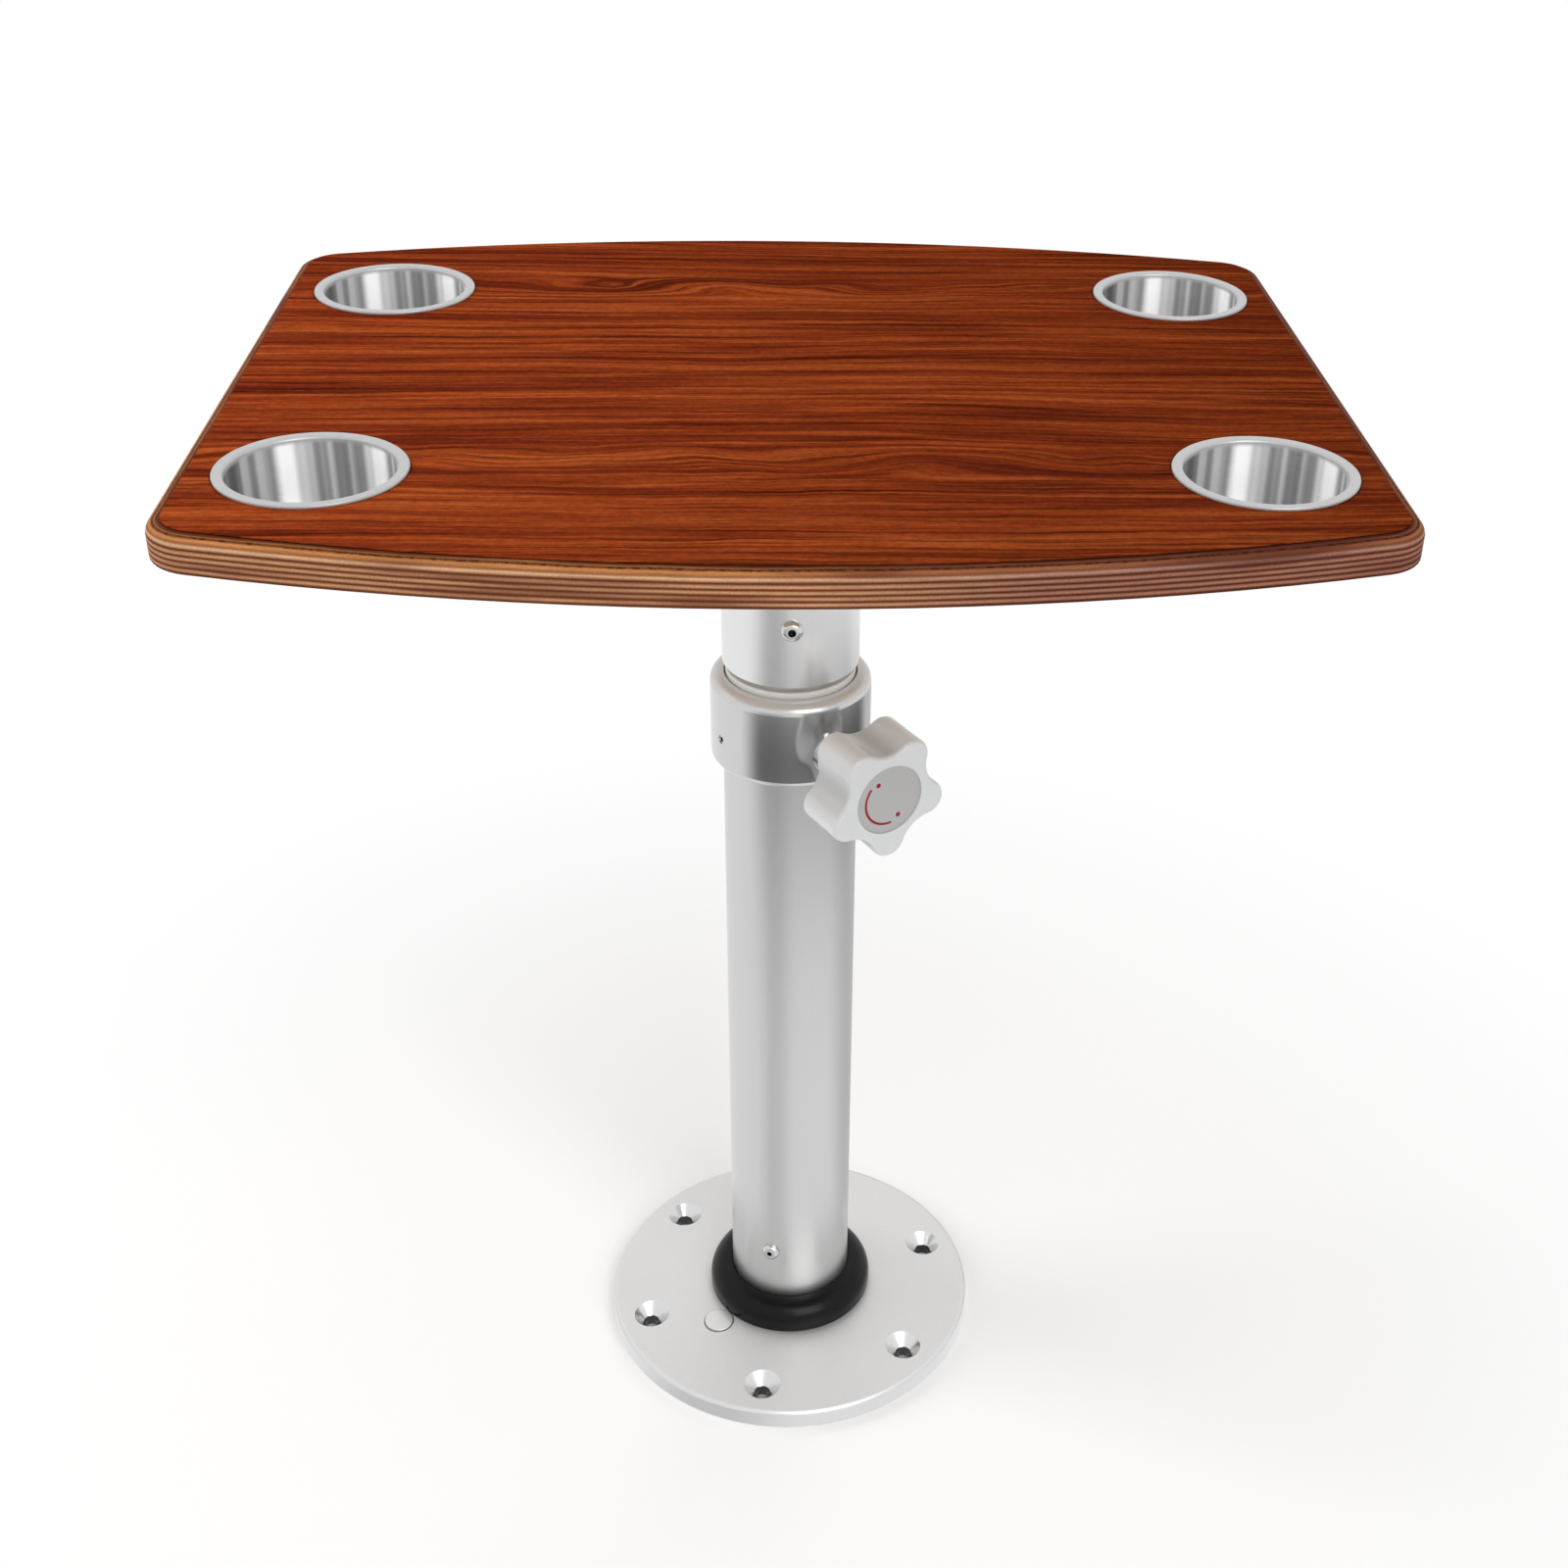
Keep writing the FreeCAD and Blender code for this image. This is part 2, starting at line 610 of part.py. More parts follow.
def column_plug():
    """Hollow plug in the foot of the column, whose flange carries the glide."""
    flange = POST_INNER - PLUG_FLANGE_EDGE
    outer = COLUMN_INNER - SEAT_FIT
    inner = outer - PLUG_WALL
    return turned([
        (inner, PLUG_BOTTOM, 0),
        (flange, PLUG_BOTTOM, 0),
        (flange, COLUMN_BOTTOM, 0),
        (outer, COLUMN_BOTTOM, 0),
        (outer, COLUMN_BOTTOM + PLUG_DEPTH, 0),
        (inner, COLUMN_BOTTOM + PLUG_DEPTH, 0),
    ])


def lower_glide():
    """Glide between the foot of the column and the wall of the post."""
    return tube(POST_INNER - RUNNING_FIT, COLUMN_RADIUS + RUNNING_FIT, GLIDE_BOTTOM, GLIDE_TOP)


def stop_ring():
    """Ring on the column that meets the guide bush at full height."""
    return tube(POST_INNER - STOP_RING_EDGE, COLUMN_RADIUS + SEAT_FIT, STOP_RING_BOTTOM, STOP_RING_TOP)


def sleeve_screw_holes(start, end):
    """Holes for the screws through sleeve, socket and column."""
    return radial_rods(
        SLEEVE_SCREW_RADIUS + SEAT_FIT, start, end,
        SLEEVE_SCREW_COUNT, SLEEVE_SCREW_AZIMUTH, SLEEVE_SCREW_HEIGHT)


def inner_column():
    """Round column that carries the table and slides in the post."""
    body = tube(COLUMN_RADIUS, COLUMN_INNER, COLUMN_BOTTOM, PLATE_BOTTOM)
    return body.cut(sleeve_screw_holes(COLUMN_INNER - OVERRUN, COLUMN_RADIUS + OVERRUN))


def table_sleeve():
    """Sleeve that covers the socket, bevelled at its lower edge."""
    body = turned([
        (SLEEVE_INNER, SLEEVE_BOTTOM, 0),
        (SLEEVE_RADIUS - SLEEVE_BEVEL, SLEEVE_BOTTOM, 0),
        (SLEEVE_RADIUS, SLEEVE_BOTTOM + SLEEVE_BEVEL_HEIGHT, 0),
        (SLEEVE_RADIUS, PLATE_BOTTOM, 0),
        (SLEEVE_INNER, PLATE_BOTTOM, 0),
    ])
    return body.cut(sleeve_screw_holes(SLEEVE_INNER - OVERRUN, SLEEVE_RADIUS + OVERRUN))


def sleeve_screws():
    """Screws that hold the sleeve and the socket on the column."""
    screw = button_screw(
        SLEEVE_SCREW_RADIUS, SLEEVE_SCREW_HEAD, SLEEVE_SCREW_RISE, SLEEVE_SCREW_KEY,
        COLUMN_INNER, SLEEVE_RADIUS)
    laid = aimed(screw, 0, SLEEVE_SCREW_HEIGHT)
    return Part.makeCompound(around(laid, SLEEVE_SCREW_COUNT, SLEEVE_SCREW_AZIMUTH))


def plate_screw(clearance):
    """Countersunk wood screw, point up, or with a clearance the hole that it goes in."""
    radius = PLATE_SCREW_RADIUS + clearance
    head = PLATE_SCREW_HEAD + clearance
    start = PLATE_BOTTOM
    tip = start + PLATE_SCREW_LENGTH + clearance
    point = tip - PLATE_SCREW_RADIUS
    return turned([
        (0, start, 0),
        (head, start, 0),
        (radius, start + head - radius, 0),
        (radius, point, 0),
        (0, tip, 0),
    ])


def plate_screw_set(clearance):
    """All the wood screws, or all their holes."""
    placed = moved(plate_screw(clearance), PLATE_SCREW_CIRCLE, 0)
    return around(placed, PLATE_SCREW_COUNT)


def top_plate():
    """Round plate under the board, with the socket that fills the gap of sleeve and column."""
    body = turned([
        (SOCKET_INNER, SOCKET_BOTTOM, 0),
        (SOCKET_OUTER, SOCKET_BOTTOM, 0),
        (SOCKET_OUTER, PLATE_BOTTOM, 0),
        (PLATE_RADIUS, PLATE_BOTTOM, PLATE_EDGE_ROUND),
        (PLATE_RADIUS, BOARD_BOTTOM, 0),
        (SOCKET_INNER, BOARD_BOTTOM, 0),
    ])
    holes = sleeve_screw_holes(COLUMN_INNER, SLEEVE_RADIUS)
    return body.cut(holes + plate_screw_set(SEAT_FIT))


def plate_screws():
    """Wood screws through the plate into the board."""
    return Part.makeCompound(plate_screw_set(0))


def bowed_panel(inset, bottom, top):
    """Panel with bowed long sides and rounded corners, its outline moved in by the inset."""
    bow_radius = ((TABLE_LENGTH / 2)**2 + TABLE_BOW**2) / 2 / TABLE_BOW
    bow_centre = TABLE_DEPTH / 2 - bow_radius
    side = TABLE_LENGTH / 2 - inset
    middle = TABLE_DEPTH / 2 - inset
    end = bow_centre + math.sqrt((bow_radius - inset)**2 - side**2)
    back_left, back_right = V(-side, end, bottom), V(side, end, bottom)
    front_left, front_right = V(-side, -end, bottom), V(side, -end, bottom)
    edges = [
        Part.Arc(back_left, V(0, middle, bottom), back_right).toShape(),
        Part.makeLine(back_right, front_right),
        Part.Arc(front_right, V(0, -middle, bottom), front_left).toShape(),
        Part.makeLine(front_left, back_left),
    ]
    panel = Part.Face(Part.Wire(edges)).extrude(V(0, 0, top - bottom))
    upright = [edge for edge in panel.Edges if edge.BoundBox.ZLength > SEAT_FIT]
    return panel.makeFillet(TABLE_CORNER_RADIUS - inset, upright)


def edges_at(shape, height):
    """Edges that lie flat at this height."""
    found = []
    for edge in shape.Edges:
        box = edge.BoundBox
        if box.ZLength < SEAT_FIT and abs(box.ZMin - height) < SEAT_FIT:
            found.append(edge)
    return found


def cup_places():
    """Centres of the four cup holders by their place on the table."""
    x = TABLE_LENGTH / 2 - CUP_INSET_X
    y = TABLE_END_DEPTH / 2 - CUP_INSET_Y
    return {
        "front_left": (-x, -y),
        "front_right": (x, -y),
        "back_left": (-x, y),
        "back_right": (x, y),
    }


def cup_holes(bottom, top):
    """Round cuts for the cup holders."""
    hole = rod(CUP_HOLE, bottom - OVERRUN, top + OVERRUN)
    return [moved(hole, x, y) for x, y in cup_places().values()]


def table_board():
    """Plywood board, its upper edge rounded over, with the cup holes and pilot holes."""
    board = bowed_panel(0, BOARD_BOTTOM, BOARD_TOP)
    board = board.makeFillet(BOARD_EDGE_ROUND, edges_at(board, BOARD_TOP))
    board = board.makeFillet(BOARD_FOOT_ROUND, edges_at(board, BOARD_BOTTOM))
    return board.cut(cup_holes(BOARD_BOTTOM, BOARD_TOP) + plate_screw_set(SEAT_FIT))


def top_laminate():
    """Laminate sheet on the flat of the board."""
    inset = BOARD_EDGE_ROUND + LAMINATE_MARGIN
    sheet = bowed_panel(inset, BOARD_TOP, TABLE_HEIGHT)
    return sheet.cut(cup_holes(BOARD_TOP, TABLE_HEIGHT))


def cup_holder():
    """Pressed cup with a flat rim that hangs on the laminate."""
    rim_top = TABLE_HEIGHT + CUP_RIM_THICKNESS
    floor_top = TABLE_HEIGHT - CUP_DEPTH
    floor_under = floor_top - CUP_WALL
    return turned([
        (0, floor_under, 0),
        (CUP_OUTER, floor_under, CUP_FLOOR_ROUND + CUP_WALL),
        (CUP_OUTER, TABLE_HEIGHT, 0),
        (CUP_RIM_RADIUS, TABLE_HEIGHT, 0),
        (CUP_RIM_RADIUS, rim_top, CUP_RIM_ROUND),
        (CUP_INNER, rim_top, CUP_LIP_ROUND),
        (CUP_INNER, floor_top, CUP_FLOOR_ROUND),
        (0, floor_top, 0),
    ])


def all_parts():
    """Every piece by the name of its node."""
    parts = {
        "base_flange": base_flange(),
        "base_ring": base_ring(),
        "foot_screws": foot_screws(),
        "release_button": release_button(),
        "button_retainer": button_retainer(),
        "release_spring": release_spring(),
        "outer_tube": outer_tube(),
        "collar": collar(),
        "collar_grub_screws": collar_grub_screws(),
        "upper_bush": upper_bush(),
        "clamp_hub": clamp_hub(),
        "clamp_pad": clamp_pad(),
        "knob_stud": knob_stud(),
        "clamp_knob": clamp_knob(),
        "knob_disc": knob_disc(),
        "stop_bumper": stop_bumper(),
        "column_plug": column_plug(),
        "lower_glide": lower_glide(),
        "stop_ring": stop_ring(),
        "inner_column": inner_column(),
        "table_sleeve": table_sleeve(),
        "sleeve_screws": sleeve_screws(),
        "top_plate": top_plate(),
        "plate_screws": plate_screws(),
        "table_board": table_board(),
        "top_laminate": top_laminate(),
    }
    for place, (x, y) in cup_places().items():
        parts["cup_holder_" + place] = moved(cup_holder(), x, y)
    return parts


os.makedirs("parts", exist_ok=True)
for node, shape in all_parts().items():
    shape.exportStep("parts/" + node + ".step")
    print(node, len(shape.Solids), "solids", round(shape.Volume), "mm3", shape.isValid())
print("height travel", round(HEIGHT_TRAVEL, 2), "mm")
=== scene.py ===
import bpy
import json
import math
import numpy as np
from mathutils import Matrix, Vector


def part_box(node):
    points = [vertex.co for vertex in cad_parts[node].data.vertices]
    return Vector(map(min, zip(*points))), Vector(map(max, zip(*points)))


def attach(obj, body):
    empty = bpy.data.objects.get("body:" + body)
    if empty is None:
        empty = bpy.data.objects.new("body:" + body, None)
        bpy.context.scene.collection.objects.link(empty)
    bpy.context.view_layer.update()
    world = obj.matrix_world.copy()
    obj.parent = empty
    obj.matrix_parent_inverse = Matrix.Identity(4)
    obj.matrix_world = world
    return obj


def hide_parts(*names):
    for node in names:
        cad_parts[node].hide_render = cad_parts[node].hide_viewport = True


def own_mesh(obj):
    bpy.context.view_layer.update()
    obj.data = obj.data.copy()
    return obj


# Pedestal table with a bowed plywood top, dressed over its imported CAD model. Metres, +Z up.

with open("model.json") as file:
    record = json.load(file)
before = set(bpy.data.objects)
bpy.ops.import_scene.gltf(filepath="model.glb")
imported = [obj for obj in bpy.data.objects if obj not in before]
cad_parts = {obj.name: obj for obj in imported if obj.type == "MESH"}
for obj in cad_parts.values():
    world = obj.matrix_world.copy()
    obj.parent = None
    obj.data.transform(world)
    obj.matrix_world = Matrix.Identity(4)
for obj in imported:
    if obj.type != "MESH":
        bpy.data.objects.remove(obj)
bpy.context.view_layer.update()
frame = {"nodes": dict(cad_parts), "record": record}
nodes = frame["nodes"]

MM = 0.001
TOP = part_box("top_laminate")[1].z
BOARD_LOW, BOARD_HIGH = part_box("table_board")
KNOB_AZIMUTH = math.radians(-60)
CUP_INNER = 38.5 * MM
CUP_RIM = 44 * MM
CUP_CORNER = 5 * MM
CUP_WALL = 0.8 * MM
CUP_PLACE = (219.5 * MM, 131.5 * MM)
CUP_TURN = math.radians(12.5)

# Two windows painted as a reflection on the wall of a cup. Each is its bearing from the far point
# of the wall, half of its bright part and half of its whole width, in degrees
CUP_PAINTED_WINDOWS = ((-16, 3, 13), (54, 4, 15))
CLAMP_HEIGHT = sum(corner.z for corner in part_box("knob_disc")) / 2

# Base: circle, first azimuth, count and radii of the bolt holes, the radii between which its
# rim turns bright, and the radius and width of the painted shade line in the gap round the button
BOLT_CIRCLE = ("reach", 97 * MM)
BOLT_FIRST = 18.5
BOLT_COUNT = 6
BOLT_HOLE = 4.8 * MM
COUNTERSINK = (11.2 * MM, 11.7 * MM)
BASE_RIM = (116.5 * MM, 117.3 * MM)
BUTTON_GAP_SHADE = (9.5 * MM, 0.9 * MM)

# Knob: its lobes, where the first one stands, and where its front face begins
LOBES = 5
LOBE_FIRST = math.radians(80)
KNOB_FACE = (99 * MM, 102 * MM)

# Print on the knob's disc: the arc's radii and ends, and the marks' place, size and azimuths
ARC_INNER = (13.8 * MM, 14.0 * MM)
ARC_OUTER = (15.2 * MM, 15.4 * MM)
ARC_START = 2.45
ARC_END = -1.45
MARK_REACH = 12.6 * MM
MARK_EDGE = (1.3 * MM, 1.5 * MM)
MARK_AZIMUTHS = (2.15, -1.07)

# Places of the screws: heights, and the radius of the plate's screw circle
FOOT_SCREWS = ("height", 72 * MM)
GRUB_SCREWS = ("height", CLAMP_HEIGHT)
SLEEVE_SCREWS = ("height", 519.5 * MM)
PLATE_SCREWS = ("reach", 62 * MM)

# A dark and a pale ply, as a share of the board's height
PLY_PAIR = 0.156

# Heart lines of the grain: place across the table and seed of the noise
HEART_LINES = ((141 * MM, 3.1), (-117 * MM, 7.7))
HEART_WIDTH = 15 * MM


# Colours as seen in sRGB, turned to the linear values that a shader takes

def srgb(red, green, blue):
    """Linear colour of an 8-bit sRGB one."""
    share = np.array([red, green, blue]) / 255
    linear = np.where(share <= 0.04045, share / 12.92, ((share + 0.055) / 1.055) ** 2.4)
    return (*(float(value) for value in linear), 1.0)


def grey(level):
    """Neutral linear colour of an 8-bit sRGB level."""
    return srgb(level, level, level)


class Wire:
    """A shader socket. Each sum, product or comparison of wires adds its Math node."""

    def __init__(self, finish, socket):
        self.finish = finish
        self.socket = socket

    def maths(self, operation, *others):
        inputs = dict(enumerate((self, *others)))
        return self.finish.node("ShaderNodeMath", {"operation": operation}, inputs)

    def __add__(self, other):
        return self.maths("ADD", other)

    def __mul__(self, other):
        return self.maths("MULTIPLY", other)

    def __sub__(self, other):
        return self.maths("SUBTRACT", other)

    def __rsub__(self, other):
        return self.finish.node("ShaderNodeMath", {"operation": "SUBTRACT"}, {0: other, 1: self})

    def __truediv__(self, other):
        return self.maths("DIVIDE", other)

    def __pow__(self, other):
        return self.maths("POWER", other)

    def __lt__(self, other):
        return self.maths("LESS_THAN", other)

    def __gt__(self, other):
        return self.maths("GREATER_THAN", other)

    __radd__ = __add__
    __rmul__ = __mul__

    def between(self, low, high, start=0.0, end=1.0):
        """Smooth step: start below low, end above high."""
        inputs = {"Value": self, "From Min": low, "From Max": high, "To Min": start, "To Max": end}
        return self.finish.node(
            "ShaderNodeMapRange", {"interpolation_type": "SMOOTHSTEP"}, inputs)


class Finish:
    """One procedural material, its Principled shader fed by wires."""

    def __init__(self, name, **sockets):
        self.material = bpy.data.materials.new(name)
        self.material.use_nodes = True
        self.tree = self.material.node_tree
        self.shader = self.tree.nodes["Principled BSDF"]
        self.feed(**{key.replace("_", " "): value for key, value in sockets.items()})

    def feed(self, **sockets):
        """Set or link sockets of the Principled shader by their names."""
        for name, value in sockets.items():
            self.join(self.shader.inputs[name], value)

    def base_colour(self):
        """Wire that feeds the base colour so far."""
        return Wire(self, self.shader.inputs["Base Color"].links[0].from_socket)

    def join(self, socket, value):
        """Link a wire to a socket, or set its value."""
        if isinstance(value, Wire):
            self.tree.links.new(value.socket, socket)
        else:
            socket.default_value = value

    def node(self, kind, settings=None, inputs=None, output=0):
        """Add any node: its settings first, then the values or links of its sockets."""
        made = self.tree.nodes.new(kind)
        for name, value in (settings or {}).items():
            if name == "stops":
                fill_ramp(made.color_ramp, value)
            else:
                setattr(made, name, value)
        for key, value in (inputs or {}).items():
            self.join(made.inputs[key], value)
        return Wire(self, made.outputs[output])

    def place(self, scale=(1, 1, 1), move=(0, 0, 0), turn=0.0):
        """Object coordinates, moved and turned about Z, then stretched."""
        coordinates = self.node("ShaderNodeTexCoord", output="Object")
        shifted = self.node("ShaderNodeMapping", {}, {
            "Vector": coordinates, "Location": move, "Rotation": (0, 0, turn)})
        return self.node("ShaderNodeVectorMath", {"operation": "MULTIPLY"}, {0: shifted, 1: scale})

    def axes(self, vector):
        """X, Y and Z of a vector."""
        return [self.node("ShaderNodeSeparateXYZ", {}, {0: vector}, output) for output in range(3)]

    def vector(self, x, y, z):
        return self.node("ShaderNodeCombineXYZ", {}, {0: x, 1: y, 2: z})

    def noise(self, vector, scale, detail=2.0, roughness=0.5):
        """Noise from 0 to 1 over a vector."""
        return self.node("ShaderNodeTexNoise", {}, {
            "Vector": vector, "Scale": scale, "Detail": detail, "Roughness": roughness})

    def ramp(self, value, stops, interpolation="LINEAR"):
        """Colour from stops of (place, colour)."""
        wire = self.node("ShaderNodeValToRGB", {"stops": stops}, {0: value})
        wire.socket.node.color_ramp.interpolation = interpolation
        return wire

    def mix(self, share, first, second, blend="MIX"):
        """Second colour over the first one by a share."""
        settings = {"data_type": "RGBA", "blend_type": blend}
        return self.node("ShaderNodeMix", settings, {0: share, 6: first, 7: second}, 2)

    def shade(self, colour, amount):
        """Colour times a number."""
        plain = colour if isinstance(colour, Wire) else colour[:3]
        return self.node("ShaderNodeVectorMath", {"operation": "SCALE"}, {0: plain, 3: amount})

    def bump(self, height, distance, strength=1.0):
        """Raise the surface by height times distance, in metres."""
        normal = self.node("ShaderNodeBump", {}, {
            "Height": height, "Distance": distance, "Strength": strength})
        self.feed(Normal=normal)


def span(across, along):
    """Length of the vector with these two parts."""
    return (across * across + along * along) ** 0.5


def fill_ramp(ramp, stops):
    """Give a colour ramp its stops of (place, colour)."""
    while len(ramp.elements) < len(stops):
        ramp.elements.new(0.5)
    for element, (place, colour) in zip(ramp.elements, stops):
        element.position = place
        element.color = colour


def dress(finish, *names):
    """Give CAD nodes their finish in every material slot."""
    for name in names:
        for slot in nodes[name].material_slots:
            slot.material = finish.material


# Finishes

def red_laminate():
    """Wood-grain laminate. Threads and streaks are noise drawn out along X over a field that
    follows Y: it sways a little, and along two heart lines it swells by a bell curve times
    noise along X, so that its level lines close to flames and ovals there."""
    finish = Finish("red_laminate", **{"Specular IOR Level": 0.0})
    x, y, z = finish.axes(finish.place())
    sway = finish.noise(finish.place((3.2, 9, 1), (0.37, 0.11, 0)), 1.0, 1.0, 0.4)
    ripple = finish.noise(finish.place((18, 46, 1), (0.1, 0.7, 0)), 1.0, 3.0, 0.6)
    field = y + (sway - 0.5) * (24 * MM) + (ripple - 0.5) * (6.5 * MM)
    for heart, seed in HEART_LINES:
        offset = y - heart
        bell = (offset * offset * (-1 / HEART_WIDTH ** 2)).maths("EXPONENT")
        flames = finish.noise(finish.vector(x * 7 + seed, y * 9, seed), 1.0, 2.0, 0.5)
        field = field + bell * ((flames - 0.47) * (105 * MM))
    broad = finish.noise(finish.vector(x * 2.8, field * 96, 0.3), 1.0, 1.0, 0.5)
    streaks = finish.noise(finish.vector(x * 6.5, field * 260, 1.7), 1.0, 2.0, 0.55)
    threads = finish.noise(finish.vector(x * 16, field * 560, 4.1), 1.0, 2.0, 0.6)
    tone = broad * 0.32 + streaks * 0.42 + threads * 0.26
    colour = finish.ramp(tone, [
        (0.36, srgb(86, 29, 16)), (0.43, srgb(106, 39, 19)), (0.50, srgb(128, 51, 22)),
        (0.56, srgb(147, 65, 28)), (0.63, srgb(162, 78, 37))])
    colour = finish.shade(colour, x * -1.0 + 0.94)
    lines = finish.noise(finish.vector(x * 6.5, field * 330, 8.3), 1.0, 1.0)
    colour = finish.shade(colour, lines.between(0.35, 0.43, 0.56, 1.0))
    speckle = finish.noise(finish.place((260, 330, 1)), 1.0, 2.0, 0.7)
    colour = finish.shade(colour, speckle * 0.9 + 0.55)
    # Painted shadow: a thin dark ring on the laminate just outside the rim of each cup.
    beside = x.maths("ABSOLUTE") - CUP_PLACE[0]
    ahead = y.maths("ABSOLUTE") - CUP_PLACE[1]
    off = span(beside, ahead) - CUP_RIM
    painted_rim_shadow = off.between(0.2 * MM, 1.0 * MM, 0.75, 0.0)
    colour = finish.mix(painted_rim_shadow, colour, srgb(24, 12, 8))
    edge = z.between(TOP - 0.55 * MM, TOP - 0.25 * MM)
    finish.feed(**{"Base Color": finish.mix(edge, srgb(30, 14, 8), colour)})
    finish.feed(Roughness=streaks * 0.14 + 0.40)
    finish.bump(lines * 0.6 + speckle * 0.4, 0.03 * MM, 0.5)
    return finish


def plywood():
    """Ply edges: bands by height, each with its fibres along the edge or cut across."""
    finish = Finish("plywood", **{"Specular IOR Level": 0.04})
    x, y, z = finish.axes(finish.place())
    wobble = finish.noise(finish.place((13, 13, 40)), 1.0, 2.0)
    height = (z - BOARD_LOW.z + (wobble - 0.5) * (0.6 * MM)) / (BOARD_HIGH.z - BOARD_LOW.z)
    worn, dark, pale = srgb(120, 84, 62), srgb(106, 56, 28), srgb(212, 162, 126)
    face, tan, golden_brown = srgb(230, 188, 152), srgb(162, 110, 72), srgb(214, 148, 92)
    plies = [(0.0, worn)]
    for pair in range(4):
        plies += [(0.075 + pair * PLY_PAIR, dark), (0.153 + pair * PLY_PAIR, pale)]
    plies += [(0.71, dark), (0.80, face), (0.86, tan), (0.93, golden_brown),
              (0.975, dark), (0.99, tan), (1.0, dark)]
    bands = finish.ramp(height, plies, "EASE")
    fibres = finish.noise(finish.place((60, 60, 1700)), 1.0, 3.0, 0.65)
    ends = finish.noise(finish.place((1300, 1300, 700)), 1.0, 2.0, 0.6)
    edge = finish.shade(bands, fibres * 0.80 + 0.46)
    edge = finish.shade(edge, ends * 0.60 + 0.66)
    stains = finish.noise(finish.place((9, 9, 110), (0.4, 0.3, 0)), 1.0, 2.0)
    # More blotches towards the right end of the edge (+X).
    stains = stains + x.maths("MAXIMUM", 0.0) * 0.2
    edge = finish.mix(stains.between(0.52, 0.72, 0.0, 0.68), edge, srgb(96, 46, 34))
    specks = finish.noise(finish.place((330, 330, 900)), 1.0, 1.0)
    golden = height.between(0.945, 0.96) * (1 - height.between(0.98, 0.99))
    edge = finish.mix(golden * specks.between(0.46, 0.60) * 0.8, edge, srgb(64, 34, 16))
    # Darker and redder towards the right end of the edge (+X).
    right_end_tint = finish.mix(x.between(-0.01, 0.12), (0.94, 0.86, 0.79, 1), (0.57, 0.46, 0.53, 1))
    edge = finish.mix(1.0, edge, right_end_tint, "MULTIPLY")
    veins = finish.noise(finish.place((7, 110, 1)), 1.0, 3.0, 0.6)
    under = finish.ramp(veins, [
        (0.3, srgb(176, 148, 118)), (0.5, srgb(196, 170, 142)), (0.7, srgb(208, 186, 160))])
    flat = z.between(BOARD_LOW.z + 0.10 * MM, BOARD_LOW.z + 0.30 * MM)
    finish.feed(**{"Base Color": finish.mix(flat, under, edge)})
    finish.feed(Roughness=fibres * 0.2 + 0.48)
    finish.bump(fibres * 0.6 + ends * 0.4, 0.08 * MM, 0.6)
    return finish


def metal(name, level, roughness, grain=(1500, 1500, 20), relief=0.001, tone=0.04, metallic=1.0):
    """Metal with fine lines along one direction, faint clouds and a touch of relief."""
    finish = Finish(name, Metallic=metallic)
    lines = finish.noise(finish.place(grain), 1.0, 2.0, 0.6)
    clouds = finish.noise(finish.place((14, 14, 9)), 1.0, 2.0)
    amount = lines * tone + clouds * tone + (1 - tone)
    finish.feed(**{"Base Color": finish.shade(grey(level), amount)})
    finish.feed(Roughness=lines * 0.10 + clouds * 0.06 + (roughness - 0.08))
    finish.bump(lines, relief * MM, 0.4)
    return finish


def nearest(finish, place, first, count):
    """Distance to the nearest of the evenly spaced places round the column. The azimuth is
    folded onto one of them. The place is a height, or a radius on a flat face."""
    x, y, z = finish.axes(finish.place())
    reach = span(x, y)
    sector = 2 * math.pi / count
    azimuth = y.maths("ARCTAN2", x) - math.radians(first)
    folded = (azimuth / sector + 0.5).maths("FLOORED_MODULO", 1.0) * sector - sector / 2
    side = folded * reach
    kind, distance = place
    off = (z if kind == "height" else reach) - distance
    return span(side, off)


def shade_holes(finish, place, radius, first, count, level=60):
    """Painted shade in holes and sockets: a dark spot at each of the evenly spaced places round
    the column.
    """
    near = nearest(finish, place, first, count)
    spot = near.between(radius, radius + 0.3 * MM, 1.0, 0.0)
    colour = finish.base_colour()
    finish.feed(**{"Base Color": finish.mix(spot, colour, grey(level))})
    return finish


def paint_gap_shade(finish, node, radius, width):
    """Painted shade: a dark line in the gap round an upright pin or button of another node."""
    low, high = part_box(node)
    middle = (low + high) / 2
    px, py, _ = finish.axes(finish.place(move=(-middle.x, -middle.y, 0)))
    off = (span(px, py) - radius).maths("ABSOLUTE")
    line = off.between(width / 4, width / 2, 1.0, 0.0)
    colour = finish.base_colour()
    finish.feed(**{"Base Color": finish.mix(line, colour, grey(96))})


def cast_flange():
    """Lacquered casting, its rim and countersinks turned bright."""
    finish = metal("satin_flange", 218, 0.5, (420, 420, 420), 0.004, 0.05, 0.6)
    # Painted shade: dark spots in the bolt holes.
    shade_holes(finish, BOLT_CIRCLE, BOLT_HOLE, BOLT_FIRST, BOLT_COUNT)
    # Painted shade: a dark line in the gap round the button.
    paint_gap_shade(finish, "button_retainer", *BUTTON_GAP_SHADE)
    x, y, _ = finish.axes(finish.place())
    rim = span(x, y).between(*BASE_RIM)
    hole = nearest(finish, BOLT_CIRCLE, BOLT_FIRST, BOLT_COUNT)
    cone = hole.between(*COUNTERSINK, 1.0, 0.0)
    turned = rim.maths("MAXIMUM", cone)
    finish.feed(Roughness=turned * -0.24 + 0.5, Metallic=turned * 0.4 + 0.6)
    return finish


def screw_metal(name, place, radius, first, count):
    """Bright screw with painted shade in its socket."""
    finish = metal(name, 208, 0.2, (1400, 1400, 1400), 0.002)
    return shade_holes(finish, place, radius, first, count, 46)


